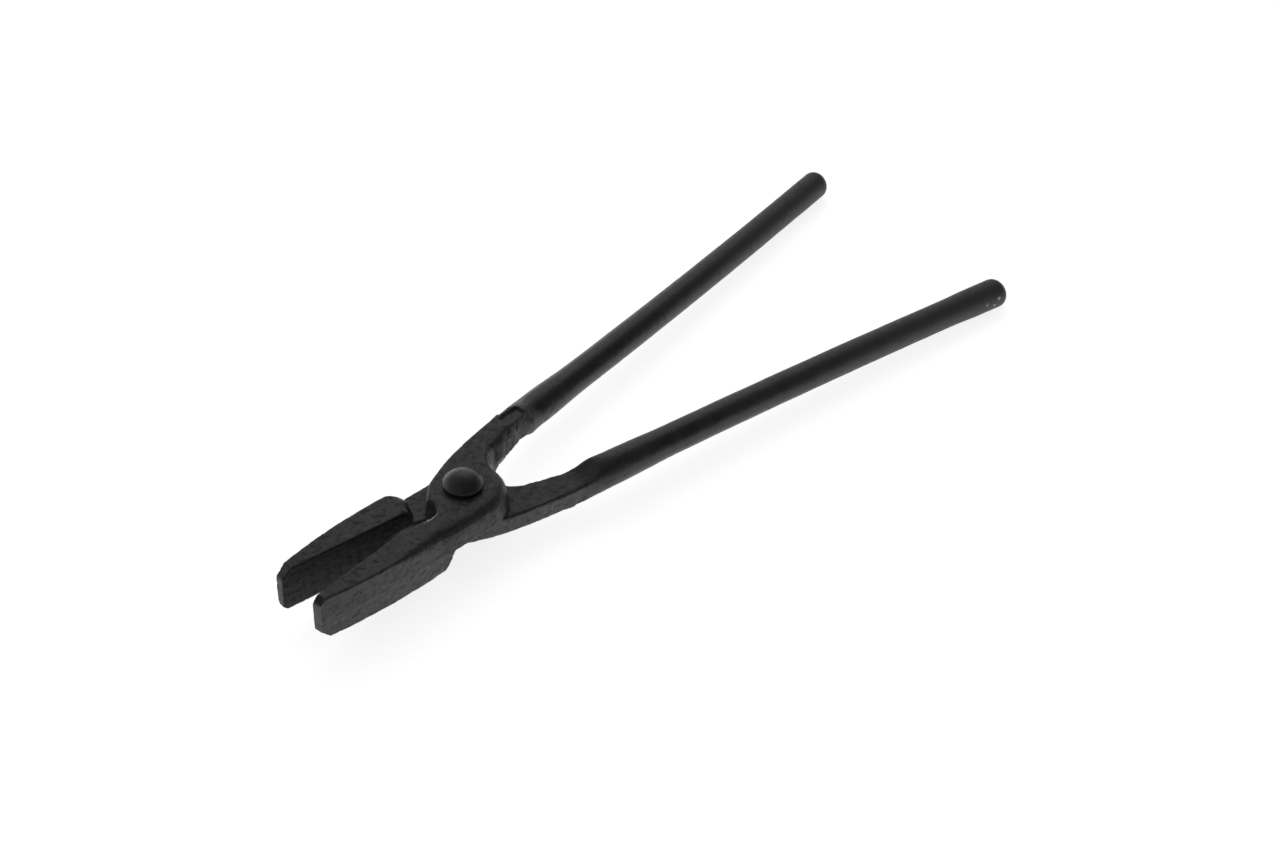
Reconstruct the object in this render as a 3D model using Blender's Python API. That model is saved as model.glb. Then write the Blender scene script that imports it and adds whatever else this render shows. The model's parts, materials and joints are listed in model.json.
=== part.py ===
"""Blacksmith tongs: two alike forged halves, turned over against each other, on one rivet.

Each half is drawn in its own closed frame, in millimetres. X runs along the tongs, from the jaw tip at
-X to the rein end at +X, the rivet's axis is Z at the origin, and the plane z = 0 is the mating plane
between the two halves. The gripping face of the jaw lies in the plane y = 0, so a closed pair meets there.
The half that is drawn lies above the mating plane at the boss; the other is the same mesh turned half a
turn about X. The finished pair is opened, laid down on its rivet head and its two rein ends, and moved so
that the middle of the bottom of its box is the world's origin.
"""
import math

import bmesh
import bpy
from mathutils import Matrix, Vector

MM = 0.001

# Overall sizes.
TIP_X = -95.7
REIN_END_X = 302.4
HALF_HEIGHT = 11.55           # the jaw is twice this tall, the boss of one half is this thick
FACE_GAP = 0.3                # clearance between pieces that touch
OPENING_ANGLE = math.radians(12.4)   # between the two gripping faces as the tongs lie

# Jaw.
JAW_TIP_THICKNESS = 4.9
JAW_ROOT_THICKNESS = 15.8
JAW_ROOT_X = -30.0
JAW_CURVE = 1.6               # power of the outer face's taper: flat at the root, steep at the tip
TIP_CUT_NEAR_BOSS_SIDE = 2.3  # chamfer of the end face on the side where this half's boss is
TIP_CUT_FAR_SIDE = 5.0        # chamfer of the end face on the other side
JAW_REAR_INNER_X = -25.0      # rear wall of the jaw at the mating plane, on its gripping side
JAW_REAR_OUTER_X = -22.0      # and on its outer side
JAW_REAR_SLOPE = 0.3          # how far that wall leans towards the tip for each mm away from the plane
JAW_REAR_CORNER = 4.0         # radius of the rounded upright corners of that wall
JAW_EDGE_CHAMFER = 0.5

# Boss and neck.
BOSS_RADIUS = 20.8
EDGE_CHAMFER = 0.9
CHEEK_END_X = 48.0            # where the flat mating face ends and the full round rein begins
NECK_END_X = CHEEK_END_X - 0.2
CHEEK_END_SLOPE = 1.3         # run of the shoulder there for each mm of its depth
NECK_INNER_Y = 8.3            # the neck's block section where the rein grows out of it
NECK_OUTER_Y = 22.7
NECK_UNDERSIDE_Z = -3.0
NECK_SQUARENESS = 3.2         # power of that section's superellipse; 2 is round
CUTTER_MARGIN = 4.0           # how far the cutting bodies stand out of what they cut

# Gullet, a hollow between gripping face and boss, on the boss side only: place along X and depth.
GULLET_HOLLOW = [(-18.7, 1.6), (-21.0, 3.4), (-24.5, 4.0), (-29.0, 3.0), (-35.0, 1.7), (-42.0, 0.0)]
GRIP_GAP = FACE_GAP / 2.0

# How far each stretch of the sides leans in between the mating plane and the outer face.
JAW_LEAN = 0.6
SHOULDER_LEAN = 1.3
BOSS_LEAN = 2.0
CROTCH_LEAN = 4.0
NECK_INNER_LEAN = 2.4
NECK_OUTER_LEAN = 1.5
GULLET_LEAN = 0.8

# Rein, a round bar that bends gently outwards towards its end.
REIN_ROUND_X = 70.0           # from here to the end the rein is a plain round bar
REIN_OFFSET_Y = 19.65
REIN_SPLAY = math.tan(math.radians(0.83))
REIN_BEND = 1.05e-4
REIN_SPLAY_X = 70.0
REIN_END_RADIUS = 6.8
REIN_THIN_X = 105.0
REIN_THIN_RADIUS = 7.2
REIN_ROOT_SWELL = 0.75
REIN_SEGMENTS = 32

# Blank panel pressed into the top of the neck, where a maker would put a mark.
PANEL_X = (44.6, 57.2)
PANEL_Y = (10.6, 19.8)
PANEL_FLOOR_Z = 9.6
PANEL_TURN = math.radians(3.0)

# Rivet.
SHANK_RADIUS = 5.0
HEAD_RADIUS = 9.25
HEAD_HEIGHT = 7.8
RIVET_SEGMENTS = 40


def clear_scene():
    for old in list(bpy.data.objects):
        bpy.data.objects.remove(old, do_unlink=True)


def steel(name, colour, roughness):
    material = bpy.data.materials.new(name)
    material.use_nodes = True
    shader = material.node_tree.nodes["Principled BSDF"]
    shader.inputs["Base Color"].default_value = (*colour, 1.0)
    shader.inputs["Metallic"].default_value = 0.7
    shader.inputs["Roughness"].default_value = roughness
    return material


def smooth_step(value, start, end):
    part = min(max((value - start) / (end - start), 0.0), 1.0)
    return part * part * (3.0 - 2.0 * part)


def object_from_rings(name, rings):
    """A closed body whose skin runs through rings of points with equal counts, capped at both ends."""
    mesh = bmesh.new()
    layers = [[mesh.verts.new(Vector(point) * MM) for point in ring] for ring in rings]
    count = len(layers[0])
    for low, high in zip(layers, layers[1:]):
        for i in range(count):
            j = (i + 1) % count
            mesh.faces.new((low[i], low[j], high[j], high[i]))
    mesh.faces.new(list(reversed(layers[0])))
    mesh.faces.new(layers[-1])
    bmesh.ops.recalc_face_normals(mesh, faces=mesh.faces[:])
    data = bpy.data.meshes.new(name)
    mesh.to_mesh(data)
    mesh.free()
    made = bpy.data.objects.new(name, data)
    bpy.context.collection.objects.link(made)
    return made


def combine(target, other, operation):
    """Apply one Boolean to target and remove the other object."""
    modifier = target.modifiers.new(operation.lower(), "BOOLEAN")
    modifier.operation = operation
    modifier.solver = "EXACT"
    modifier.object = other
    graph = bpy.context.evaluated_depsgraph_get()
    result = bpy.data.meshes.new_from_object(target.evaluated_get(graph))
    target.modifiers.clear()
    target.data = result
    bpy.data.objects.remove(other, do_unlink=True)


def lean_in(points, distances):
    """Move each corner of an anticlockwise outline inwards by its own distance."""
    moved = []
    for i, point in enumerate(points):
        corner = Vector(point)
        before = (corner - Vector(points[i - 1])).normalized()
        after = (Vector(points[(i + 1) % len(points)]) - corner).normalized()
        inward = (Vector((-before.y, before.x)) + Vector((-after.y, after.x))).normalized()
        moved.append(corner + inward * distances[i])
    return moved


def jaw_outer_y(x):
    taper = max(JAW_ROOT_X - x, 0.0) / (JAW_ROOT_X - TIP_X)
    return -(JAW_ROOT_THICKNESS - (JAW_ROOT_THICKNESS - JAW_TIP_THICKNESS) * taper ** JAW_CURVE)


def arc(centre, radius, start_degrees, end_degrees, steps):
    start, sweep = math.radians(start_degrees), math.radians(end_degrees - start_degrees)
    angles = [start + sweep * k / steps for k in range(steps + 1)]
    return [(centre[0] + radius * math.cos(a), centre[1] + radius * math.sin(a)) for a in angles]


def body_outline(gullet_part):
    """Jaw, boss and neck from above, anticlockwise, at the mating plane, from the tip and back to it.

    Each stretch comes with how far it leans in and how wide its edge is broken. The gullet behind the
    gripping face is sunk to gullet_part of its full depth.
    """
    jaw_xs = [TIP_X + (JAW_ROOT_X - 4.0 - TIP_X) * k / 8 for k in range(9)]
    stretches = [
        ([(x, jaw_outer_y(x)) for x in jaw_xs], JAW_LEAN, JAW_EDGE_CHAMFER),
        ([(-26.5, -18.0), (-17.5, -19.0), (-9.5, -19.9)], SHOULDER_LEAN, EDGE_CHAMFER),
        (arc((0.0, 0.0), BOSS_RADIUS, -97.0, -10.0, 12), BOSS_LEAN, EDGE_CHAMFER),
        ([(22.0, -0.6), (25.0, 2.6), (29.5, 4.9)], CROTCH_LEAN, EDGE_CHAMFER),
        ([(36.5, 6.6), (43.5, 7.7), (NECK_END_X, 8.6)], NECK_INNER_LEAN, EDGE_CHAMFER),
        ([(NECK_END_X, 22.9), (40.0, 22.3), (31.0, 21.7), (22.0, 20.8), (12.0, 19.5), (4.0, 17.8),
          (-3.5, 15.7), (-9.0, 13.9), (-12.6, 11.6)], NECK_OUTER_LEAN, EDGE_CHAMFER),
        ([(-18.9, 5.3), (-17.6, 2.4)], GULLET_LEAN, EDGE_CHAMFER),
        ([(x, -GRIP_GAP - gullet_part * depth) for x, depth in GULLET_HOLLOW], 0.0, 0.0),
        ([(TIP_X, -GRIP_GAP)], 0.0, 0.0),
    ]
    points = [point for stretch, _, _ in stretches for point in stretch]
    leans = [lean for stretch, lean, _ in stretches for _ in stretch]
    breaks = [width for stretch, _, width in stretches for _ in stretch]
    return points, leans, breaks


def body_blank():
    """The full-height blank of jaw, boss and neck. Its sides lean in away from the mating plane."""
    near_cut, far_cut = TIP_CUT_NEAR_BOSS_SIDE, TIP_CUT_FAR_SIDE
    # Height, part of the lean, part of the edge break, how far the end face is cut back, gullet.
    levels = [(-HALF_HEIGHT, 1.0, 1.0, far_cut, 0.0),
              (-HALF_HEIGHT + EDGE_CHAMFER, 1.0, 0.0, far_cut - EDGE_CHAMFER, 0.0),
              (-HALF_HEIGHT + far_cut, 0.6, 0.0, 0.0, 0.0),
              (-2.0, 0.2, 0.0, 0.0, 0.0),
              (0.0, 0.0, 0.0, 0.0, 0.6),
              (HALF_HEIGHT - near_cut, 0.8, 0.0, 0.0, 0.9),
              (HALF_HEIGHT - EDGE_CHAMFER, 1.0, 0.0, near_cut - EDGE_CHAMFER, 1.0),
              (HALF_HEIGHT, 1.0, 1.0, near_cut, 1.1)]
    rings = []
    for z, lean_part, break_part, tip_cut, gullet_part in levels:
        points, leans, breaks = body_outline(gullet_part)
        distances = [lean * lean_part + width * break_part for lean, width in zip(leans, breaks)]
        ring = [(p.x, p.y, z) for p in lean_in(points, distances)]
        tip_x = TIP_X + tip_cut
        ring[0] = (tip_x, jaw_outer_y(tip_x) + distances[0], z)
        ring[-1] = (tip_x, -GRIP_GAP, z)
        rings.append(ring)
    return object_from_rings("body_blank", rings)


def rein_centre_y(x):
    reach = x - REIN_SPLAY_X
    return REIN_OFFSET_Y + REIN_SPLAY * reach + REIN_BEND * reach * reach


def rein_radius(x):
    taper = (REIN_THIN_RADIUS - REIN_END_RADIUS) / (REIN_END_X - REIN_THIN_X)
    thin = REIN_THIN_RADIUS - taper * (x - REIN_THIN_X)
    return thin + REIN_ROOT_SWELL * (1.0 - smooth_step(x, REIN_ROUND_X, REIN_THIN_X))


def between(part, start, end):
    return start + part * (end - start)


def rein_ring(x):
    """One cross-section of neck and rein: a rounded block at the cheek that turns into a circle."""
    side_part = smooth_step(x, CHEEK_END_X - 2.0, REIN_ROUND_X)
    top_part = smooth_step(x, CHEEK_END_X + 4.0, REIN_ROUND_X + 2.0)
    centre, radius = rein_centre_y(x), rein_radius(x)
    y_low = between(side_part, NECK_INNER_Y, centre - radius)
    y_high = between(side_part, NECK_OUTER_Y, centre + radius)
    z_low = between(side_part, NECK_UNDERSIDE_Z, -radius)
    z_high = between(top_part, HALF_HEIGHT - 0.2, radius)
    power = 2.0 / between(side_part, NECK_SQUARENESS, 2.0)
    ring = []
    for k in range(REIN_SEGMENTS):
        angle = math.tau * k / REIN_SEGMENTS
        c, s = math.cos(angle), math.sin(angle)
        across = math.copysign(abs(c) ** power, c)
        up = math.copysign(abs(s) ** power, s)
        ring.append((x, (y_low + y_high) / 2.0 + across * (y_high - y_low) / 2.0,
                     (z_low + z_high) / 2.0 + up * (z_high - z_low) / 2.0))
    return ring


def rein_bar():
    """Neck and rein as one loft, ending in a blunt dome."""
    neck = [CHEEK_END_X - 8.0 + 3.0 * k for k in range(10)]
    bar = [between(k / 14, REIN_ROUND_X + 4.0, REIN_END_X - 12.0) for k in range(15)]
    rings = [rein_ring(x) for x in neck + bar]
    dome_length = REIN_END_RADIUS * 0.8
    for turn in (0, 25, 48, 66, 80):
        angle = math.radians(turn)
        x = REIN_END_X - dome_length + dome_length * math.sin(angle)
        centre = rein_centre_y(x)
        shrink = math.cos(angle)
        rings.append([(x, centre + (y - centre) * shrink, z * shrink) for _, y, z in rein_ring(x)])
    return object_from_rings("rein_bar", rings)


def cheek_cutter():
    """The room of the other half's boss and neck: everything below the mating plane behind the jaw."""
    corner = JAW_REAR_CORNER
    reach = 40.0
    overlap = 2.0
    outer_y = jaw_outer_y(JAW_ROOT_X) + JAW_LEAN / 2.0
    rings = []
    for z in (-HALF_HEIGHT - CUTTER_MARGIN, FACE_GAP / 2.0):
        inner_x = JAW_REAR_INNER_X + JAW_REAR_SLOPE * z - corner
        outer_x = JAW_REAR_OUTER_X + JAW_REAR_SLOPE * z - corner
        back = CHEEK_END_X - CHEEK_END_SLOPE * z
        inner_round = arc((inner_x, -corner), corner, 90.0, 0.0, 4)
        outer_round = arc((outer_x, outer_y + corner), corner, 0.0, -90.0, 4)
        outline = [(inner_x, overlap), *inner_round, *outer_round, (outer_x, outer_y - overlap),
                   (outer_x, -reach), (back, -reach), (back, reach), (inner_x, reach)]
        rings.append([(x, y, z) for x, y in outline])
    return object_from_rings("cheek_cutter", rings)


def bore_cutter():
    ring = arc((0.0, 0.0), SHANK_RADIUS + FACE_GAP, 0.0, 360.0, RIVET_SEGMENTS)[:-1]
    reach = HALF_HEIGHT + CUTTER_MARGIN
    return object_from_rings("bore_cutter", [[(x, y, z) for x, y in ring] for z in (-reach, reach)])


def panel_cutter():
    middle = Vector(((PANEL_X[0] + PANEL_X[1]) / 2.0, (PANEL_Y[0] + PANEL_Y[1]) / 2.0))
    turn = Matrix.Rotation(PANEL_TURN, 2)
    (left, right), (near, far) = PANEL_X, PANEL_Y
    corners = [(left, near), (right, near), (right, far), (left, far)]
    placed = [middle + turn @ (Vector(corner) - middle) for corner in corners]
    levels = (PANEL_FLOOR_Z, HALF_HEIGHT + CUTTER_MARGIN)
    return object_from_rings("panel_cutter", [[(p.x, p.y, z) for p in placed] for z in levels])


def tong_half(name):
    half = body_blank()
    combine(half, rein_bar(), "UNION")
    combine(half, cheek_cutter(), "DIFFERENCE")
    combine(half, bore_cutter(), "DIFFERENCE")
    combine(half, panel_cutter(), "DIFFERENCE")
    half.name = name
    half.data.name = name
    return half


def rivet():
    """Shank and two high round heads, turned about Z."""
    seat = HALF_HEIGHT + FACE_GAP
    steps = 7
    turns = [math.pi / 2 * k / steps for k in range(steps)]
    dome = [(HEAD_RADIUS * math.cos(turn), seat + HEAD_HEIGHT * math.sin(turn)) for turn in turns]
    upper = [(SHANK_RADIUS, seat), *dome]
    profile = [(r, -z) for r, z in reversed(upper)] + upper
    round_turns = [math.tau * k / RIVET_SEGMENTS for k in range(RIVET_SEGMENTS)]
    rings = [[(r * math.cos(turn), r * math.sin(turn), z) for turn in round_turns] for r, z in profile]
    return object_from_rings("rivet", rings)


def lie_angle():
    """How far the tongs dip towards the rein ends when they rest there and on the lower rivet head."""
    head_bottom = HALF_HEIGHT + FACE_GAP + HEAD_HEIGHT
    contact_x = (REIN_END_X - REIN_END_RADIUS) * math.cos(OPENING_ANGLE / 2.0)
    return math.asin((head_bottom - REIN_END_RADIUS) / contact_x)


def shade(made, material):
    made.data.materials.clear()
    made.data.materials.append(material)
    made.data.shade_smooth()
    made.data.set_sharp_from_angle(angle=math.radians(35.0))


def main():
    clear_scene()
    resting = bpy.data.objects.new("resting_frame", None)
    bpy.context.collection.objects.link(resting)

    upper = tong_half("upper_half")
    lower = bpy.data.objects.new("lower_half", upper.data.copy())
    bpy.context.collection.objects.link(lower)
    pin = rivet()

    upper.rotation_euler = (0.0, 0.0, OPENING_ANGLE / 2.0)
    lower.rotation_euler = (math.pi, 0.0, -OPENING_ANGLE / 2.0)
    pieces = (upper, lower, pin)
    for piece in pieces:
        piece.parent = resting

    resting.rotation_euler = (0.0, lie_angle(), 0.0)
    bpy.context.view_layer.update()
    corners = [piece.matrix_world @ vertex.co for piece in pieces for vertex in piece.data.vertices]
    low = Vector([min(c[axis] for c in corners) for axis in range(3)])
    high = Vector([max(c[axis] for c in corners) for axis in range(3)])
    resting.location = (-(low.x + high.x) / 2.0, -(low.y + high.y) / 2.0, -low.z)

    shade(upper, steel("forged_black", (0.035, 0.036, 0.038), 0.5))
    shade(lower, steel("forged_black_lower", (0.033, 0.034, 0.036), 0.5))
    shade(pin, steel("rivet_black", (0.025, 0.026, 0.028), 0.42))
    bpy.context.view_layer.update()


main()
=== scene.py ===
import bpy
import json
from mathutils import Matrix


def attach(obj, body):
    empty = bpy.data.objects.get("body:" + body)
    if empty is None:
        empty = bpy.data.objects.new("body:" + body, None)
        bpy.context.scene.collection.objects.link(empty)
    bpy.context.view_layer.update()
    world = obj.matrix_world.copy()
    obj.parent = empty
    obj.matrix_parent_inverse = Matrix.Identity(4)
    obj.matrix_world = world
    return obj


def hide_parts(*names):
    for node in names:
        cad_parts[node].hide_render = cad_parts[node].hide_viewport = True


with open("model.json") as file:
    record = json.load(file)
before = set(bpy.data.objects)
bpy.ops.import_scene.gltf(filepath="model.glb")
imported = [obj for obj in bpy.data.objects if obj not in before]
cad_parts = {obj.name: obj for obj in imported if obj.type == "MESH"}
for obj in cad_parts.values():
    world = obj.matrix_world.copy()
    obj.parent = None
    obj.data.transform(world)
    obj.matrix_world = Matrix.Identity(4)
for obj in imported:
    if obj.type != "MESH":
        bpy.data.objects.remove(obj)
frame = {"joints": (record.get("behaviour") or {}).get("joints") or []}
"""Looks of the blacksmith tongs: two forged halves and their rivet, in black forge scale.

Each piece is drawn in its own closed frame, in millimetres, as the CAD is: X along the tongs with
the jaw tip at -X, the rivet's axis on Z at the origin, the mating plane at z = 0 and the gripping
face at y = 0. The half that is drawn has its boss above the mating plane. The lower half is drawn the
same way and turned half a turn about X. The finished meshes are then placed in the frame by the
hinge's point and axis.
"""
import json
import math

import bmesh
import bpy
import numpy as np
from mathutils import Matrix, Vector, noise

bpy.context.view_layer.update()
HINGE = frame["joints"][0]
MM = 0.001

# Sizes shared with the CAD, in millimetres.
TIP_X = -95.7
REIN_END_X = 302.4
TIP_CUT_BOTTOM = 5.0        # chamfer of the jaw's end face, away from the boss side
HALF_HEIGHT = 11.55
FACE_GAP = 0.3
OPENING_ANGLE = math.radians(12.4)
JAW_TIP_THICKNESS = 4.9
JAW_ROOT_THICKNESS = 15.8
JAW_ROOT_X = -30.0
JAW_CURVE = 1.6
JAW_REAR_INNER_X = -25.0    # the jaw's rear wall at the mating plane, on its gripping side
JAW_REAR_OUTER_X = -22.0    # and on its outer side
JAW_REAR_SLOPE = 0.3        # how far that wall leans towards the tip for each mm below the plane
JAW_REAR_CORNER = 4.0
BOSS_RADIUS = 20.8
CHEEK_END_X = 48.0
NECK_END_X = CHEEK_END_X - 0.2
SHANK_RADIUS = 5.0
HEAD_RADIUS = 9.25
HEAD_HEIGHT = 7.8
REIN_END_RADIUS = 6.8
REIN_ROUND_X = 70.0
REIN_THIN_X = 105.0
REIN_THIN_RADIUS = 7.2

# The forged skin's mesh, in millimetres, and how much its edges are smoothed.
VOXEL = 0.42
SOFTENING = 0.5
SOFTEN_ROUNDS = 4
BLENDING = 0.8              # in the soft places
BLEND_ROUNDS = 40

# The rivet's heads, in millimetres. A head is part of a ball, over a short rim.
HEAD_SEAT = HALF_HEIGHT + 0.12
UPPER_HEAD_HEIGHT = 7.0
UPPER_HEAD_BALL_RADIUS = 11.0
LOWER_HEAD_HEIGHT = HEAD_HEIGHT - 0.25
LOWER_HEAD_BALL_RADIUS = HEAD_RADIUS + 0.25
DOME_STEPS = 26
RIVET_SIDES = 96

# How far each stretch of the sides leans in between the mating plane and the outer face.
JAW_LEAN = 0.6
SHOULDER_LEAN = 1.3
BOSS_LEAN = 2.0
CROTCH_LEAN = 4.0
NECK_INNER_LEAN = 3.0       # at its far end
NECK_OUTER_LEAN = 1.5
GULLET_LEAN = 0.8

# The neck: a block that turns into the rein's circle. x is counted from the cheek's end.
NECK_MIDDLE_Y = 15.75
NECK_MIDDLE_Z = 4.2
NECK_TOP_Z = HALF_HEIGHT - 0.15
NECK_BOTTOM_Z = -2.6
NECK_INNER_Y = 8.7
NECK_INNER_SPREAD = 0.2     # growth of y per millimetre of x
NECK_OUTER_Y = 22.6
NECK_OUTER_SPREAD = 0.07
BLOCK_CRISPNESS = 11.0      # the higher, the sharper the block's corners
INNER_CRISPNESS = 3.2

# The rein's centre line, from REIN_ROUND_X on: its first y, its first slope, and its bow.
REIN_START_Y = 19.65
REIN_SLOPE = math.tan(math.radians(0.83))
REIN_BOW = 1.05e-4
REIN_THICKENING = 0.75      # extra radius next to the neck
REIN_SIDES = 64
SWELL_START_X, SWELL_FULL_X = 268.0, 284.0      # where a rein thickens again towards its end

# The skin's marks, in millimetres. Of a pair of depths, the first is the jaws' and the second the rein's.
CALM_START_X, CALM_END_X = 40.0, 90.0       # between jaws and rein
DULL_START_X, DULL_END_X = 90.0, 300.0      # the rein gets duller towards its end
WAVE_SIZE, WAVE_DEPTHS = 14.0, (0.14, 0.07)
DENT_SIZE, DENT_DEPTHS = 3.4, (0.12, 0.04)
FLAKE_SIZE, FLAKE_FINE_SIZE = 2.6, 1.1
FLAKE_DEPTH = 0.15
FLAKE_THRESHOLD = 0.26      # the scale has begun to flake off where the noise is above this
FLAKE_CALMING = 0.45        # and how much higher that is on the rein
FLAKE_EDGE = 0.16           # how far above it the flake reaches its full depth

# The scale's colours. The darker and the lighter oxide of each material come with the material.
DULL_GREY = (0.052, 0.052, 0.053)
# A lighter grey for the jaws' end faces.
END_FACE_GREY = (0.07, 0.07, 0.07)
# Lighter grey for the outer edges: partly wear, partly a painted edge highlight.
WORN_AND_HIGHLIGHT_GREY = (0.07, 0.07, 0.072)
BARE_STEEL = (0.62, 0.62, 0.61)
SCALE_IOR = 1.47
GRAIN_HEIGHT = 0.00022      # in metres

# Camera, in the tongs' own frame with the rivet upright: where it looks, from where, and its lens.
VIEW_TARGET = Vector((95.34, -15.19, 0.0))
VIEW_DISTANCE = 1386.89
VIEW_AZIMUTH = math.radians(-45.08)
VIEW_ELEVATION = math.radians(40.81)
VIEW_ROLL = math.radians(1.66)
LENS = 84.375
SENSOR = 36.0


def resting_frame():
    """From the tongs' closed frame, in millimetres, to the row frame, in metres."""
    x, _, z = HINGE["axis"]
    turn = Matrix.Rotation(math.atan2(x, z), 4, "Y")
    return Matrix.Translation(HINGE["pos_m"]) @ turn @ Matrix.Scale(MM, 4)


RESTING = resting_frame()


# ---------------------------------------------------------------- camera, floor and light

def add_camera():
    """The camera, beyond the jaws and above them, looking down at the resting tongs."""
    cos_e = math.cos(VIEW_ELEVATION)
    back = Vector((math.sin(VIEW_AZIMUTH) * cos_e, -math.cos(VIEW_AZIMUTH) * cos_e,
                   math.sin(VIEW_ELEVATION)))
    level_right = (-back).cross(Vector((0.0, 0.0, 1.0))).normalized()
    level_up = level_right.cross(-back)
    c, s = math.cos(VIEW_ROLL), math.sin(VIEW_ROLL)
    right = c * level_right + s * level_up
    up = c * level_up - s * level_right
    turn = Matrix((right, up, back)).transposed()
    data = bpy.data.cameras.new("camera")
    data.lens = LENS
    data.sensor_width = SENSOR
    data.clip_start = 0.05
    data.clip_end = 20.0
    camera = bpy.data.objects.new("camera", data)
    bpy.context.scene.collection.objects.link(camera)
    to_row = RESTING.to_3x3().normalized()
    place = RESTING @ (VIEW_TARGET + back * VIEW_DISTANCE)
    camera.matrix_world = Matrix.Translation(place) @ (to_row @ turn).to_4x4()
    bpy.context.scene.camera = camera


def add_floor():
    """A plain white floor that glows, so that the shadows stay pale."""
    size = 3.0
    mesh = bpy.data.meshes.new("floor")
    corners = [(-size, -size, 0.0), (size, -size, 0.0), (size, size, 0.0), (-size, size, 0.0)]
    mesh.from_pydata(corners, [], [(0, 1, 2, 3)])
    floor = bpy.data.objects.new("floor", mesh)
    bpy.context.scene.collection.objects.link(floor)
    material = bpy.data.materials.new("floor_white")
    material.use_nodes = True
    shader = material.node_tree.nodes["Principled BSDF"]
    shader.inputs["Base Color"].default_value = (0.9, 0.9, 0.9, 1.0)
    shader.inputs["Roughness"].default_value = 0.9
    shader.inputs["Specular IOR Level"].default_value = 0.1
    shader.inputs["Emission Color"].default_value = (1.0, 1.0, 1.0, 1.0)
    shader.inputs["Emission Strength"].default_value = 0.80
    mesh.materials.append(material)


def add_area_light(name, place, size, power):
    """A soft panel that faces the tongs."""
    data = bpy.data.lights.new(name, "AREA")
    data.shape = "RECTANGLE"
    data.size, data.size_y = size
    data.energy = power
    light = bpy.data.objects.new(name, data)
    bpy.context.scene.collection.objects.link(light)
    aim = Vector((0.0, 0.0, 0.02)) - Vector(place)
    light.location = place
    light.rotation_euler = aim.to_track_quat("-Z", "Y").to_euler()


def add_light():
    """A light tent: bright low down and towards the back, with one soft panel behind the tongs."""
    world = bpy.data.worlds.new("studio")
    world.use_nodes = True
    tree = world.node_tree
    direction = tree.nodes.new("ShaderNodeTexCoord")
    split = tree.nodes.new("ShaderNodeSeparateXYZ")
    tree.links.new(direction.outputs["Generated"], split.inputs["Vector"])
    ramp = tree.nodes.new("ShaderNodeValToRGB")
    ramp.color_ramp.elements[0].position = 0.02
    ramp.color_ramp.elements[0].color = (1.0, 1.0, 1.0, 1.0)
    ramp.color_ramp.elements[1].position = 0.22
    ramp.color_ramp.elements[1].color = (0.25, 0.25, 0.25, 1.0)
    tree.links.new(split.outputs["Z"], ramp.inputs["Fac"])
    tree.links.new(ramp.outputs["Color"], tree.nodes["Background"].inputs["Color"])
    towards_back = tree.nodes.new("ShaderNodeVectorMath")
    towards_back.operation = "DOT_PRODUCT"
    towards_back.inputs[1].default_value = (-0.35, 0.94, 0.0)
    tree.links.new(direction.outputs["Generated"], towards_back.inputs[0])
    level = tree.nodes.new("ShaderNodeMapRange")
    level.inputs["From Min"].default_value = -1.0
    level.inputs["To Min"].default_value = 0.15
    level.inputs["To Max"].default_value = 1.6
    tree.links.new(towards_back.outputs["Value"], level.inputs["Value"])
    tree.links.new(level.outputs["Result"], tree.nodes["Background"].inputs["Strength"])
    bpy.context.scene.world = world
    bpy.context.scene.view_settings.view_transform = "Standard"
    add_area_light("tent_back", (0.85, 0.85, 1.1), (1.5, 1.3), 4.0)


# ---------------------------------------------------------------- mesh tools

def smooth_step(value, start, end):
    """0 up to start, 1 from end on, and a smooth rise between them."""
    part = min(max((value - start) / (end - start), 0.0), 1.0)
    return part * part * (3.0 - 2.0 * part)


def between(part, start, end):
    return start + part * (end - start)


def arc(centre, radius, start_degrees, end_degrees, steps):
    """Points along an arc, with both of its ends."""
    start, sweep = math.radians(start_degrees), math.radians(end_degrees - start_degrees)
    angles = [start + sweep * k / steps for k in range(steps + 1)]
    return [(centre[0] + radius * math.cos(a), centre[1] + radius * math.sin(a)) for a in angles]


def object_from_rings(name, rings):
    """A closed body whose skin runs through rings of points with equal counts, capped at both ends."""
    mesh = bmesh.new()
    layers = [[mesh.verts.new(point) for point in ring] for ring in rings]
    count = len(layers[0])
    for low, high in zip(layers, layers[1:]):
        for i in range(count):
            j = (i + 1) % count
            mesh.faces.new((low[i], low[j], high[j], high[i]))
    mesh.faces.new(list(reversed(layers[0])))
    mesh.faces.new(layers[-1])
    bmesh.ops.recalc_face_normals(mesh, faces=mesh.faces[:])
    data = bpy.data.meshes.new(name)
    mesh.to_mesh(data)
    mesh.free()
    made = bpy.data.objects.new(name, data)
    bpy.context.scene.collection.objects.link(made)
    return made


def apply_modifiers(made):
    """Replace the object's mesh with the result of its modifiers."""
    graph = bpy.context.evaluated_depsgraph_get()
    result = bpy.data.meshes.new_from_object(made.evaluated_get(graph))
    made.modifiers.clear()
    made.data = result


def combine(target, other, operation):
    """Apply one Boolean to target and remove the other object."""
    modifier = target.modifiers.new(operation.lower(), "BOOLEAN")
    modifier.operation = operation
    modifier.solver = "EXACT"
    modifier.object = other
    apply_modifiers(target)
    bpy.data.objects.remove(other, do_unlink=True)


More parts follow.
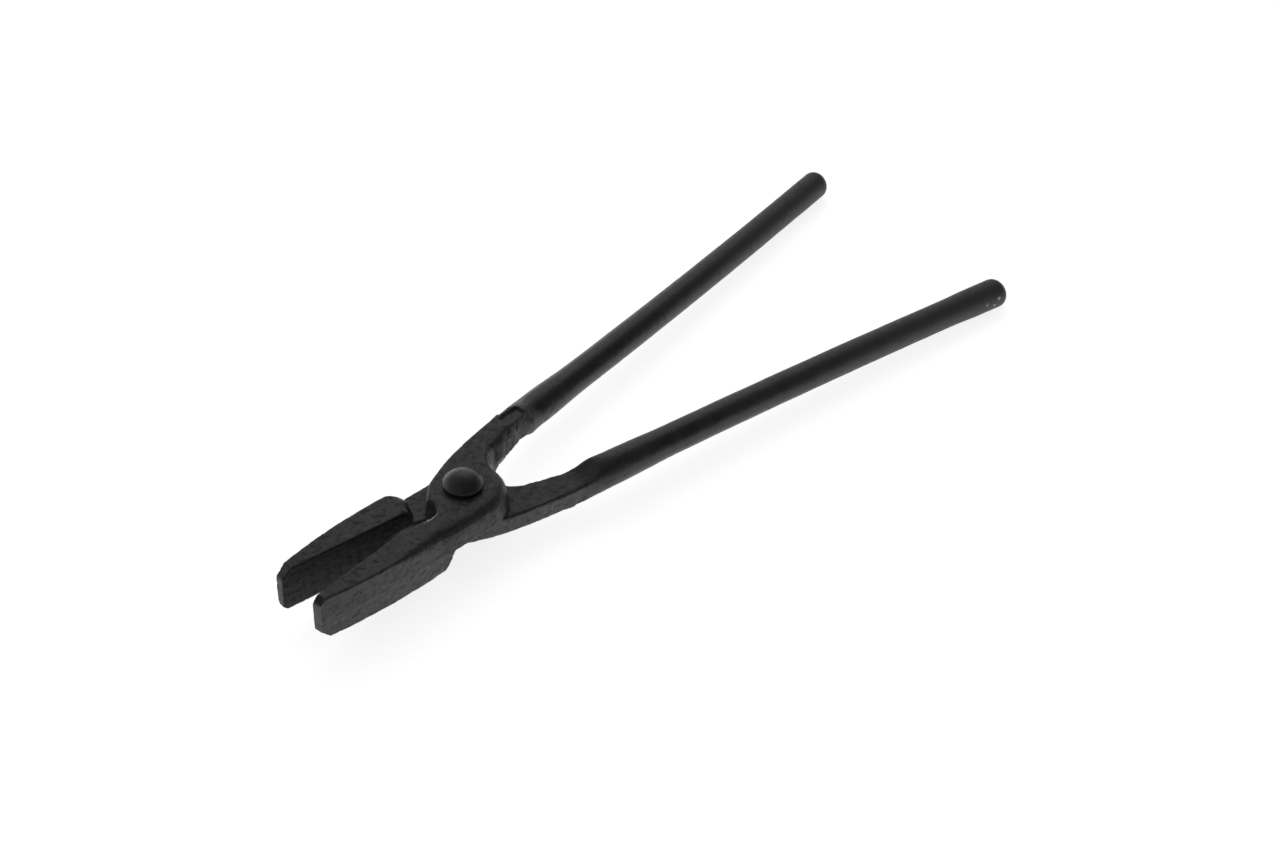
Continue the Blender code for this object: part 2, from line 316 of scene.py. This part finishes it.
def remesh_even(made, soft_places):
    """Even quads all over, with edges as soft as a forging's, and softer still in some places."""
    remesh = made.modifiers.new("remesh", "REMESH")
    remesh.mode = "VOXEL"
    remesh.voxel_size = VOXEL
    soften = made.modifiers.new("soften", "SMOOTH")
    soften.factor = SOFTENING
    soften.iterations = SOFTEN_ROUNDS
    apply_modifiers(made)
    group = made.vertex_groups.new(name="soft")
    for index, weight in enumerate(near_part(vertex_array(made), soft_places)):
        if weight > 0.0:
            group.add([index], weight, "REPLACE")
    blend = made.modifiers.new("blend", "SMOOTH")
    blend.factor = BLENDING
    blend.iterations = BLEND_ROUNDS
    blend.vertex_group = "soft"
    apply_modifiers(made)
    made.vertex_groups.clear()


# ---------------------------------------------------------------- shape of one half

class HalfShape:
    """What differs between the two halves, which were forged in the same dies and trimmed by hand."""

    def __init__(self, outer_rounding, tip_cut_top, rear_corner, end_swell, bare, seed):
        self.outer_rounding = outer_rounding    # edge radius along jaw, shoulder, boss and neck
        self.tip_cut_top = tip_cut_top          # chamfer of the jaw's end face on the boss side
        self.rear_corner = rear_corner          # corner radius behind the jaw
        self.end_swell = end_swell              # extra radius near the rein's end
        self.bare = bare                        # rubbed places: centre and reach along each axis
        self.seed = seed                        # sets the pattern of dents and flaked scale


UPPER_SHAPE = HalfShape(
    outer_rounding=(0.7, 4.8, 5.0, 1.2), tip_cut_top=2.9, rear_corner=2.6, end_swell=0.1, seed=3,
    bare=[((22.5, 1.0, 6.0), (2.6, 2.8, 5.0)),          # the crotch between boss and neck
          ((34.0, 5.0, 1.5), (7.0, 2.0, 1.6)),          # the neck's inner side, low down
          ((-25.5, -4.2, 11.25), (6.0, 1.0, 0.9))])     # the gullet's upper edge
LOWER_SHAPE = HalfShape(
    outer_rounding=(0.7, 2.4, 3.6, 2.2), tip_cut_top=2.3, rear_corner=7.5, end_swell=0.4, seed=8,
    bare=[((22.5, 1.0, 4.0), (2.2, 2.4, 3.5)),          # the crotch
          ((287.0, 34.0, -1.2), (1.3, 1.6, 1.1)),       # four chips near the rein's end
          ((291.5, 34.4, 0.6), (1.1, 1.6, 1.0)),
          ((294.5, 34.4, -2.0), (1.3, 1.6, 1.2)),
          ((297.0, 34.0, 1.0), (0.8, 1.5, 0.8)),
          ((-86.0, -0.4, -1.5), (0.5, 0.6, 0.5))])      # one near the jaw's tip

# The gullet behind the gripping face: x, and depth at the top of the jaw.
GULLET_HOLLOW = [(-18.7, 1.6), (-21.0, 3.4), (-24.5, 4.0), (-29.0, 3.0), (-35.0, 1.7), (-42.0, 0.0)]
GRIP_GAP = FACE_GAP / 2.0
BOTTOM_ROUNDING = 1.2       # the widest edge radius on the jaw's far side
SHOULDER_START_X = 48.5
SHOULDER_RADIUS = 14.0
CUTTER_MARGIN = 4.0         # how far the cutting bodies stand out of what they cut, in height
CUTTER_REACH = 40.0         # and across
# Where the skin is smoothed further: centre, and reach along each axis.
SOFT_PLACES = [
    ((59.0, 15.0, -4.0), (14.0, 16.0, 7.0)),    # the turn of the shoulder
    ((47.8, 22.5, 0.0), (7.0, 4.0, 7.0)),       # where blank and rein join, on the neck's outer side
    ((45.0, 8.6, 4.0), (14.0, 3.5, 9.0)),       # and on its inner side
    ((15.0, 19.8, 0.2), (14.0, 2.2, 1.9)),      # the mating face's outer edge, beside the boss
    ((36.0, 22.2, 0.2), (18.0, 2.0, 1.9)),      # and beside the neck
]


def lean_in(points, distances):
    """Move each corner of an anticlockwise outline inwards by its own distance."""
    moved = []
    for i, point in enumerate(points):
        corner = Vector(point)
        before = (corner - Vector(points[i - 1])).normalized()
        after = (Vector(points[(i + 1) % len(points)]) - corner).normalized()
        inward = (Vector((-before.y, before.x)) + Vector((-after.y, after.x))).normalized()
        moved.append(corner + inward * distances[i])
    return moved


def jaw_outer_y(x):
    taper = max(JAW_ROOT_X - x, 0.0) / (JAW_ROOT_X - TIP_X)
    return -(JAW_ROOT_THICKNESS - (JAW_ROOT_THICKNESS - JAW_TIP_THICKNESS) * taper ** JAW_CURVE)


def body_outline(shape, gullet_part):
    """Jaw, boss and neck from above, anticlockwise: points, how far each leans in, its edge radius.

    The stretches are the jaw's outer side, the shoulder, the boss, the crotch, the neck's inner side,
    its outer side back to the gripping face, the gullet's end, the gullet and the tip's inner corner.
    """
    jaw_round, shoulder_round, boss_round, neck_round = shape.outer_rounding
    jaw_xs = [TIP_X] + [between(k / 14, TIP_X + 6.0, JAW_ROOT_X - 4.0) for k in range(15)]
    jaw_rounds = [between(smooth_step(x, -62.0, -34.0), jaw_round, shoulder_round) for x in jaw_xs]
    stretches = [
        ([(x, jaw_outer_y(x)) for x in jaw_xs], JAW_LEAN, jaw_rounds),
        ([(-30.0, -16.5), (-26.5, -17.8), (-22.0, -18.6), (-17.5, -19.1), (-9.5, -19.9)],
         SHOULDER_LEAN, shoulder_round),
        (arc((0.0, 0.0), BOSS_RADIUS, -97.0, -10.0, 24), BOSS_LEAN, boss_round),
        ([(21.1, -1.9), (22.0, -0.6), (23.2, 0.9), (25.0, 2.6), (27.0, 3.9), (29.5, 4.9)],
         CROTCH_LEAN, [1.2, 1.2, 1.2, 1.4, 1.7, 2.0]),
        ([(36.5, 6.6), (43.5, 7.7), (NECK_END_X, 8.6)],
         [2.0, 2.6, NECK_INNER_LEAN], [3.4, 4.6, 5.0]),
        ([(NECK_END_X, 22.9), (40.0, 22.3), (31.0, 21.7), (22.0, 20.8), (12.0, 19.5),
          (4.0, 17.8), (-3.5, 15.7), (-9.0, 13.9), (-12.6, 11.6)], NECK_OUTER_LEAN, neck_round),
        ([(-18.9, 5.3), (-17.6, 2.4)], GULLET_LEAN, 0.9),
        ([(x, -GRIP_GAP - gullet_part * depth) for x, depth in GULLET_HOLLOW], 0.0, 0.5),
        ([(TIP_X, -GRIP_GAP)], 0.0, 0.4),
    ]
    points, leans, rounds = [], [], []
    for stretch, lean, rounding in stretches:
        points += stretch
        leans += lean if isinstance(lean, list) else [lean] * len(stretch)
        rounds += rounding if isinstance(rounding, list) else [rounding] * len(stretch)
    return points, leans, rounds


def body_ring(shape, z, lean_part, gullet_part, turn=0.0, side=0, tip_z=None):
    """One outline of the blank, at height z.

    lean_part is the part of each stretch's lean, and gullet_part that of the gullet's depth.
    With side 1 or -1 the ring lies on the rounded edge of the top or bottom face: turn goes from 0 on
    the side wall to a quarter turn on the face. tip_z is the height of the end face's two corners,
    where that isn't the ring's own.
    """
    points, leans, rounds = body_outline(shape, gullet_part)
    if side < 0:
        rounds = [min(r, BOTTOM_ROUNDING) for r in rounds]
    drop = [r * (1.0 - math.sin(turn)) if side else 0.0 for r in rounds]
    inset = [r * (1.0 - math.cos(turn)) if side else 0.0 for r in rounds]
    distances = [lean * lean_part * (1.0 - fallen / HALF_HEIGHT) + extra
                 for lean, fallen, extra in zip(leans, drop, inset)]
    ring = [(p.x, p.y, z - side * d) for p, d in zip(lean_in(points, distances), drop)]
    chamfer = shape.tip_cut_top if z > 0.0 else TIP_CUT_BOTTOM
    for i, y_in in ((0, distances[0]), (-1, inset[-1])):
        corner_z = ring[i][2] if tip_z is None else tip_z
        tip_x = TIP_X + max(chamfer - (HALF_HEIGHT - abs(corner_z)), 0.0)
        ring[i] = (tip_x, jaw_outer_y(tip_x) + y_in if i == 0 else -GRIP_GAP - y_in, corner_z)
    return ring


def body_blank(shape):
    """The full-height blank of jaw, boss and neck, with draft and rounded edges, from bottom to top."""
    turns = [math.radians(a) for a in (0.0, 22.5, 45.0, 67.5, 90.0)]
    rings = []
    for turn in reversed(turns):
        rings.append(body_ring(shape, -HALF_HEIGHT, lean_part=1.0, gullet_part=0.0, turn=turn, side=-1))
    rings.append(body_ring(shape, -HALF_HEIGHT + TIP_CUT_BOTTOM, lean_part=0.6, gullet_part=0.0))
    rings.append(body_ring(shape, -2.0, lean_part=0.2, gullet_part=0.0))
    rings.append(body_ring(shape, 0.0, lean_part=0.0, gullet_part=0.6))
    chamfer_z = HALF_HEIGHT - shape.tip_cut_top
    under_edge_z = HALF_HEIGHT - 5.2        # just under the widest rounding of the top edge
    rings.append(body_ring(shape, under_edge_z, lean_part=0.55, gullet_part=0.82, tip_z=chamfer_z))
    for turn in turns:
        rings.append(body_ring(shape, HALF_HEIGHT, lean_part=1.0, gullet_part=1.0, turn=turn, side=1))
    return object_from_rings("body_blank", rings)


def rein_centre_y(x):
    reach = x - REIN_ROUND_X
    return REIN_START_Y + REIN_SLOPE * reach + REIN_BOW * reach * reach


def rein_radius(shape, x):
    taper = (REIN_THIN_RADIUS - REIN_END_RADIUS) / (REIN_END_X - REIN_THIN_X)
    thin = REIN_THIN_RADIUS - taper * (x - REIN_THIN_X)
    swell = shape.end_swell * smooth_step(x, SWELL_START_X, SWELL_FULL_X)
    return thin + REIN_THICKENING * (1.0 - smooth_step(x, REIN_ROUND_X, REIN_THIN_X)) + swell


def block_reach(angle, walls, worn):
    """How far a ray from a block's middle goes before its rounded wall.

    A wall is given by the way it faces and its distance from the middle.
    The two inner corners are rounder than the outer ones, which get as round where the block is worn.
    """
    reaches = [distance / math.cos(angle - facing) for facing, distance in walls
               if math.cos(angle - facing) > 0.01]
    inner_part = max(math.cos(angle - 0.75 * math.pi), math.cos(angle - 1.25 * math.pi), 0.0)
    crispness = between(max(inner_part, worn), BLOCK_CRISPNESS, INNER_CRISPNESS)
    return sum(reach ** -crispness for reach in reaches) ** (-1.0 / crispness)


def rein_ring(shape, x):
    """One cross-section of neck and rein: the cheek's leaning block, turning into a circle."""
    side_part = smooth_step(x, CHEEK_END_X + 1.0, REIN_ROUND_X - 2.0)
    top_part = smooth_step(x, CHEEK_END_X + 5.0, REIN_ROUND_X + 2.0)
    worn = smooth_step(x, CHEEK_END_X - 1.0, CHEEK_END_X + 10.0)
    centre, radius = rein_centre_y(x), rein_radius(shape, x)
    past = min(x, REIN_ROUND_X) - CHEEK_END_X       # how far the ring is past the cheek's end
    middle_y = between(side_part, NECK_MIDDLE_Y, centre)
    middle_z = between(side_part, NECK_MIDDLE_Z, 0.0)
    top = between(top_part, NECK_TOP_Z, radius) - middle_z
    bottom = middle_z - between(side_part, NECK_BOTTOM_Z, -radius)
    inner_y = NECK_INNER_Y + NECK_INNER_SPREAD * past
    outer_y = NECK_OUTER_Y + NECK_OUTER_SPREAD * past
    inner = between(side_part, NECK_MIDDLE_Y - inner_y, radius)
    outer = between(side_part, outer_y - NECK_MIDDLE_Y, radius)
    inner_lean = math.atan(NECK_INNER_LEAN / HALF_HEIGHT)
    outer_lean = math.atan(NECK_OUTER_LEAN / HALF_HEIGHT)
    walls = [(math.pi / 2.0, top), (-math.pi / 2.0, bottom),
             (outer_lean, outer * math.cos(outer_lean) - middle_z * math.sin(outer_lean)),
             (math.pi - inner_lean, inner * math.cos(inner_lean) - middle_z * math.sin(inner_lean))]
    ring = []
    for k in range(REIN_SIDES):
        angle = math.tau * k / REIN_SIDES
        reach = between(side_part, block_reach(angle, walls, worn), radius)
        ring.append((x, middle_y + math.cos(angle) * reach, middle_z + math.sin(angle) * reach))
    return ring


def rein_bar(shape):
    """Neck and rein as one loft, ending in a blunt dome."""
    neck = [CHEEK_END_X - 4.0 + 1.5 * k for k in range(17)]
    bar = [between(k / 60, REIN_ROUND_X + 1.0, REIN_END_X - 7.0) for k in range(61)]
    rings = [rein_ring(shape, x) for x in neck + bar]
    dome_length = 0.8 * REIN_END_RADIUS
    for turn in (0, 15, 30, 45, 58, 69, 79, 86):
        angle = math.radians(turn)
        x = REIN_END_X - dome_length + dome_length * math.sin(angle)
        centre = rein_centre_y(x)
        shrink = math.cos(angle)
        ring = rein_ring(shape, x)
        rings.append([(x, centre + (y - centre) * shrink, z * shrink) for _, y, z in ring])
    return object_from_rings("rein_bar", rings)


def shoulder_x(z):
    """Where the mating face turns into the rein: a hollow curve that starts level with the flat."""
    depth = min(max(-z, 0.0), SHOULDER_RADIUS)
    return SHOULDER_START_X + math.sqrt(SHOULDER_RADIUS ** 2 - (SHOULDER_RADIUS - depth) ** 2)


def cheek_cutter(shape):
    """The room of the other half's boss and neck: everything below the mating plane behind the jaw."""
    outer_y = jaw_outer_y(JAW_ROOT_X) + 0.3
    inner_corner, outer_corner = JAW_REAR_CORNER, shape.rear_corner
    rings = []
    # Height, and how far the lower rear corner of the jaw is rounded off there.
    levels = [(-HALF_HEIGHT - CUTTER_MARGIN, 6.0), (-HALF_HEIGHT, 3.0), (-HALF_HEIGHT + 0.6, 1.7),
              (-HALF_HEIGHT + 1.6, 0.7), (-HALF_HEIGHT + 3.2, 0.0)]
    levels += [(-depth, 0.0) for depth in (7.0, 5.6, 4.3, 3.1, 2.1, 1.3, 0.7, 0.3, 0.1)]
    levels.append((FACE_GAP / 2.0, 0.0))
    for z, round_off in levels:
        inner_x = JAW_REAR_INNER_X + JAW_REAR_SLOPE * z - inner_corner - round_off
        outer_x = JAW_REAR_OUTER_X + JAW_REAR_SLOPE * z - outer_corner - round_off
        back = shoulder_x(z)
        inner_round = arc((inner_x, -inner_corner), inner_corner, 90.0, 0.0, 8)
        outer_round = arc((outer_x, outer_y + outer_corner), outer_corner, 0.0, -90.0, 8)
        outline = [(inner_x, 2.0), *inner_round, *outer_round, (outer_x, outer_y - 3.5),
                   (outer_x, -CUTTER_REACH), (back, -CUTTER_REACH),
                   (back, CUTTER_REACH), (inner_x, CUTTER_REACH)]
        rings.append([(x, y, z) for x, y in outline])
    return object_from_rings("cheek_cutter", rings)


def bore_cutter():
    ring = arc((0.0, 0.0), SHANK_RADIUS + FACE_GAP, 0.0, 360.0, 64)[:-1]
    reach = HALF_HEIGHT + CUTTER_MARGIN
    return object_from_rings("bore_cutter", [[(x, y, z) for x, y in ring] for z in (-reach, reach)])


def panel_cutter():
    """The blank panel pressed into the top of the neck, open towards the inner side."""
    middle = Vector((50.9, 12.4))
    half_length, half_width = 5.8, 5.6
    floor_z, fall = 9.9, 0.6                # the floor falls towards the rein
    turn = Matrix.Rotation(math.radians(3.0), 2)
    rings = []
    levels = ((floor_z, fall, 0.0), (HALF_HEIGHT, 0.0, 0.8), (HALF_HEIGHT + CUTTER_MARGIN, 0.0, 1.2))
    for z, tilt, grow in levels:
        corners = [(sx * (half_length + grow), sy * (half_width + 1.6 * grow), z - tilt * sx)
                   for sx, sy in ((-1, -1), (1, -1), (1, 1), (-1, 1))]
        rings.append([(*(middle + turn @ Vector((x, y))), z) for x, y, z in corners])
    return object_from_rings("panel_cutter", rings)


# ---------------------------------------------------------------- the forged skin

def vertex_array(made):
    points = np.empty(len(made.data.vertices) * 3, np.float32)
    made.data.vertices.foreach_get("co", points)
    return points.reshape(-1, 3).astype(float)


def normal_array(made):
    normals = np.empty(len(made.data.vertices) * 3, np.float32)
    made.data.vertices.foreach_get("normal", normals)
    return normals.reshape(-1, 3).astype(float)


def edge_sharpness(made):
    """How much the skin turns away at each vertex: near 0 on flats, positive along outer edges."""
    points, normals = vertex_array(made), normal_array(made)
    edges = np.empty(len(made.data.edges) * 2, np.int32)
    made.data.edges.foreach_get("vertices", edges)
    first, second = edges.reshape(-1, 2).T
    along = points[second] - points[first]
    along /= np.linalg.norm(along, axis=1)[:, None] + 1e-9
    total, count = np.zeros(len(points)), np.zeros(len(points))
    for ends, sign in ((first, -1.0), (second, 1.0)):
        np.add.at(total, ends, sign * np.einsum("ij,ij->i", normals[ends], along))
        np.add.at(count, ends, 1.0)
    return total / np.maximum(count, 1.0)


def save_layer(made, name, values):
    layer = made.data.attributes.new(name, "FLOAT", "POINT")
    layer.data.foreach_set("value", np.asarray(values, np.float32))


def near_part(points, places):
    """1 at the heart of each place, falling to 0 at its reach."""
    part = np.zeros(len(points))
    for centre, reach in places:
        away = np.linalg.norm((points - np.array(centre)) / np.array(reach), axis=1)
        part = np.maximum(part, np.clip(1.4 - 1.4 * away, 0.0, 1.0))
    return part


def forged_marks(points, seed):
    """How far each point rises or sinks, and how much of its scale has flaked off, from 0 to 1."""
    shift = Vector((17.3, 5.1, 9.7)) * seed
    rise = np.empty(len(points))
    flaked = np.empty(len(points), np.float32)
    for i, point in enumerate(points):
        place = Vector(point) + shift
        calm = smooth_step(point[0], CALM_START_X, CALM_END_X)
        wave = noise.noise(place / WAVE_SIZE) * between(calm, *WAVE_DEPTHS)
        dent = noise.fractal(place / DENT_SIZE, 1.0, 2.0, 3) * between(calm, *DENT_DEPTHS)
        patch = noise.noise(place / FLAKE_SIZE) + 0.5 * noise.noise(place / FLAKE_FINE_SIZE + shift)
        threshold = FLAKE_THRESHOLD + FLAKE_CALMING * calm
        flake = smooth_step(patch, threshold, threshold + FLAKE_EDGE)
        flaked[i] = flake
        rise[i] = wave + dent - FLAKE_DEPTH * flake
    return rise, flaked


def forge_surface(made, shape):
    """Press the die's and the scale's marks into the skin, and note where the skin looks different."""
    points, normals = vertex_array(made), normal_array(made)
    xs = points[:, 0]
    rise, flaked = forged_marks(points, shape.seed)
    moved = points + normals * rise[:, None]
    # The mating face keeps clear of the other half: no point of it sinks below this height, which
    # falls away where the shoulder begins.
    cheek = (xs > -22.0) & (xs < SHOULDER_START_X) & (points[:, 2] < 0.6)
    least_z = np.interp(xs, (SHOULDER_START_X - 8.0, SHOULDER_START_X + 3.0), (0.1, -1.5))
    moved[cheek, 2] = np.maximum(moved[cheek, 2], least_z[cheek])
    made.data.vertices.foreach_set("co", moved.astype(np.float32).ravel())
    made.data.update()
    save_layer(made, "flaked", flaked)
    save_layer(made, "bare", near_part(points, shape.bare))
    # The jaws' end faces, which get a lighter grey.
    save_layer(made, "end_face", xs < TIP_X + 0.5)
    # Painted shade on the gripping face, the gullet, the notch's walls and the tip's chamfer: a darker
    # colour stands in for the shade they lie in, with a duller, rougher skin.
    notch = (xs < -14.0) & (points[:, 1] > -4.5) & (points[:, 2] < HALF_HEIGHT - 1.2)
    upright = (np.abs(normals[:, 2]) < 0.5) & (normals[:, 1] - normals[:, 0] > 0.3)
    tip_chamfer = (xs < TIP_X + 3.5) & (normals[:, 0] < -0.35) & (normals[:, 2] > 0.35)
    save_layer(made, "grip_painted_shade", (notch & upright) | tip_chamfer)
    save_layer(made, "smooth", [smooth_step(x, CALM_START_X, CALM_END_X) for x in xs])
    save_layer(made, "dull", [smooth_step(x, DULL_START_X, DULL_END_X) for x in xs])
    save_layer(made, "edge", edge_sharpness(made))


# ---------------------------------------------------------------- the rivet

def head_profile(height, ball_radius):
    """Radius and height above the boss of one rivet head: a short rim under part of a ball."""
    rim = height - ball_radius + math.sqrt(ball_radius ** 2 - HEAD_RADIUS ** 2)
    widest = math.asin(HEAD_RADIUS / ball_radius)
    turns = [widest * (1.0 - k / DOME_STEPS) for k in range(DOME_STEPS)]
    dome = [(ball_radius * math.sin(turn), height - ball_radius * (1.0 - math.cos(turn)))
            for turn in turns]
    return [(SHANK_RADIUS, 0.0), (HEAD_RADIUS - 1.0, 0.0), (HEAD_RADIUS - 0.3, 0.3 * rim),
            (HEAD_RADIUS, 0.8 * rim), *dome, (0.12, height)]


def rivet():
    """Shank and two round heads. The upper one was hammered lower than the one below."""
    lower_head = head_profile(LOWER_HEAD_HEIGHT, LOWER_HEAD_BALL_RADIUS)
    upper_head = head_profile(UPPER_HEAD_HEIGHT, UPPER_HEAD_BALL_RADIUS)
    below = [(r, -HEAD_SEAT - z) for r, z in reversed(lower_head)]
    above = [(r, HEAD_SEAT + z) for r, z in upper_head]
    profile = below + [(SHANK_RADIUS, z) for z in (-8, -4, 0, 4, 8)] + above
    round_turns = [math.tau * k / RIVET_SIDES for k in range(RIVET_SIDES)]
    rings = [[(r * math.cos(t), r * math.sin(t), z) for t in round_turns] for r, z in profile]
    return object_from_rings("rivet_forged", rings)


# ---------------------------------------------------------------- materials

class Nodes:
    """The few node patterns that the forge scale's material is made of."""

    def __init__(self, tree):
        self.tree = tree
        self.place = self.add("ShaderNodeTexCoord").outputs["Object"]

    def add(self, kind, **values):
        made = self.tree.nodes.new(kind)
        for key, value in values.items():
            setattr(made, key, value)
        return made

    def link(self, source, target):
        self.tree.links.new(source, target)

    def grain(self, scale, detail, rough=0.55):
        """Noise with scale cells in a metre."""
        made = self.add("ShaderNodeTexNoise")
        made.inputs["Scale"].default_value = scale
        made.inputs["Detail"].default_value = detail
        made.inputs["Roughness"].default_value = rough
        self.link(self.place, made.inputs["Vector"])
        return made.outputs["Fac"]

    def ramp(self, source, low, high, start, end):
        """start where the source is low, end where it is high."""
        made = self.add("ShaderNodeMapRange")
        for key, value in (("From Min", low), ("From Max", high), ("To Min", start), ("To Max", end)):
            made.inputs[key].default_value = value
        self.link(source, made.inputs["Value"])
        return made.outputs["Result"]

    def faded(self, source, start, end):
        """start where the source is 0, end where it is 1."""
        return self.ramp(source, 0.0, 1.0, start, end)

    def layer(self, name):
        """One of the values that forge_surface saved. It is 0 on a mesh that hasn't got it."""
        return self.add("ShaderNodeAttribute", attribute_name=name).outputs["Fac"]

    def mix(self, part, first, second):
        made = self.add("ShaderNodeMix", data_type="RGBA")
        self.link(part, made.inputs["Factor"])
        for slot, colour in (("A", first), ("B", second)):
            socket = next(s for s in made.inputs if s.name == slot and s.type == "RGBA")
            if isinstance(colour, tuple):
                socket.default_value = (*colour, 1.0)
            else:
                self.link(colour, socket)
        return next(s for s in made.outputs if s.type == "RGBA")

    def of_both(self, operation, first, second):
        made = self.add("ShaderNodeMath", operation=operation)
        self.link(first, made.inputs[0])
        self.link(second, made.inputs[1])
        return made.outputs["Value"]

    def times(self, first, second):
        return self.of_both("MULTIPLY", first, second)

    def plus(self, first, second):
        return self.of_both("ADD", first, second)


def scaled(factor, colour):
    return tuple(factor * channel for channel in colour)


def scale_colour(nodes, dark, light, rough_skin, blotch):
    """Clouds, pale specks and dark pits, then the flaked places, painted shade on the gripping face and
    its neighbours, the jaws' lighter end faces, and outer edges lightened by wear and a painted edge
    highlight.
    """
    cloud = nodes.ramp(nodes.grain(110.0, 4.0), 0.35, 0.68, 0.0, 1.0)
    colour = nodes.mix(cloud, dark, light)
    speck = nodes.ramp(nodes.grain(900.0, 3.0), 0.60, 0.74, 0.0, 0.6)
    colour = nodes.mix(speck, colour, scaled(1.9, light))
    pit = nodes.times(nodes.ramp(nodes.grain(520.0, 3.0), 0.44, 0.32, 0.0, 0.85), rough_skin)
    colour = nodes.mix(pit, colour, scaled(0.4, dark))
    colour = nodes.mix(blotch, colour, scaled(0.4, dark))
    colour = nodes.mix(nodes.faded(nodes.layer("flaked"), 0.0, 0.6), colour, scaled(0.4, dark))
    colour = nodes.mix(nodes.faded(nodes.layer("dull"), 0.0, 0.8), colour, DULL_GREY)
    # Painted shade: darker on the gripping face, the gullet, the notch's walls and the tip's chamfer.
    colour = nodes.mix(nodes.faded(nodes.layer("grip_painted_shade"), 0.0, 0.75), colour, scaled(0.35, dark))
    # The jaws' end faces are lighter.
    colour = nodes.mix(nodes.faded(nodes.layer("end_face"), 0.0, 1.0), colour, END_FACE_GREY)
    # Outer edges lightened: partly rubbed wear, partly a painted edge highlight.
    edge_wear_and_highlight = nodes.times(nodes.ramp(nodes.layer("edge"), 0.16, 0.34, 0.0, 0.8),
                         nodes.ramp(nodes.grain(260.0, 4.0), 0.45, 0.6, 0.0, 1.0))
    colour = nodes.mix(edge_wear_and_highlight, colour, WORN_AND_HIGHLIGHT_GREY)
    bare = nodes.times(nodes.layer("bare"), nodes.ramp(nodes.grain(700.0, 4.0), 0.38, 0.50, 0.0, 1.0))
    return nodes.mix(bare, colour, BARE_STEEL)


def scale_roughness(nodes, roughness, blotch):
    """Rougher where the scale is flaked, dull or blotched and where shade is painted on the gripping face
    and its neighbours, and smoother along the rein.
    """
    grain = nodes.ramp(nodes.grain(450.0, 5.0), 0.3, 0.7, roughness - 0.07, roughness + 0.09)
    satin = nodes.faded(nodes.layer("smooth"), 0.0, -0.08)
    matt = nodes.plus(nodes.faded(nodes.layer("flaked"), 0.0, 0.06),
                      nodes.faded(nodes.layer("grip_painted_shade"), 0.0, 0.3))
    dull = nodes.plus(nodes.faded(nodes.layer("dull"), 0.0, 0.2), nodes.faded(blotch, 0.0, 0.12))
    return nodes.plus(nodes.plus(grain, satin), nodes.plus(matt, dull))


def forged_black(name, dark, light, roughness):
    """Black forge scale: dark oxide with paler wear, matt flaked patches and a fine grain."""
    material = bpy.data.materials.new(name)
    material.use_nodes = True
    shader = material.node_tree.nodes["Principled BSDF"]
    nodes = Nodes(material.node_tree)
    rough_skin = nodes.faded(nodes.layer("smooth"), 1.0, 0.3)
    blotch = nodes.times(nodes.ramp(nodes.grain(330.0, 6.0, 0.75), 0.47, 0.70, 0.0, 0.8), rough_skin)
    nodes.link(scale_colour(nodes, dark, light, rough_skin, blotch), shader.inputs["Base Color"])
    nodes.link(scale_roughness(nodes, roughness, blotch), shader.inputs["Roughness"])
    shader.inputs["Metallic"].default_value = 0.0
    shader.inputs["IOR"].default_value = SCALE_IOR
    bump = nodes.add("ShaderNodeBump")
    nodes.link(nodes.faded(nodes.layer("smooth"), 0.75, 0.3), bump.inputs["Strength"])
    bump.inputs["Distance"].default_value = GRAIN_HEIGHT
    nodes.link(nodes.grain(1100.0, 5.0, 0.65), bump.inputs["Height"])
    nodes.link(bump.outputs["Normal"], shader.inputs["Normal"])
    return material


# ---------------------------------------------------------------- assembly

def tong_half(name, shape, placed):
    """One half, forged in the closed frame and then placed. It rests on the floor, never below it."""
    half = body_blank(shape)
    combine(half, rein_bar(shape), "UNION")
    combine(half, cheek_cutter(shape), "DIFFERENCE")
    combine(half, bore_cutter(), "DIFFERENCE")
    combine(half, panel_cutter(), "DIFFERENCE")
    remesh_even(half, SOFT_PLACES)
    forge_surface(half, shape)
    half.name = name
    half.data.name = name
    half.data.transform(RESTING @ placed)
    resting = vertex_array(half)
    resting[:, 2] = np.maximum(resting[:, 2], 0.0)
    half.data.vertices.foreach_set("co", resting.astype(np.float32).ravel())
    half.data.shade_smooth()
    return half


def main():
    add_camera()
    add_floor()
    add_light()
    turned_up = Matrix.Rotation(OPENING_ANGLE / 2.0, 4, "Z")
    turned_down = Matrix.Rotation(-OPENING_ANGLE / 2.0, 4, "Z") @ Matrix.Rotation(math.pi, 4, "X")
    scale_black = forged_black("scale_black", (0.014, 0.014, 0.0145), (0.032, 0.032, 0.033), 0.42)
    rivet_black = forged_black("rivet_black", (0.013, 0.013, 0.0135), (0.03, 0.03, 0.031), 0.27)
    upper = tong_half("upper_half_forged", UPPER_SHAPE, turned_up)
    upper.data.materials.append(scale_black)
    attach(upper, "swinging_half")
    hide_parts("upper_half")
    lower = tong_half("lower_half_forged", LOWER_SHAPE, turned_down)
    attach(lower, "fixed_half")
    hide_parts("lower_half")
    lower.data.materials.append(scale_black)
    pin = rivet()
    pin.data.transform(RESTING)
    pin.data.shade_smooth()
    pin.data.materials.append(rivet_black)
    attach(pin, "fixed_half")
    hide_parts("rivet")


main()
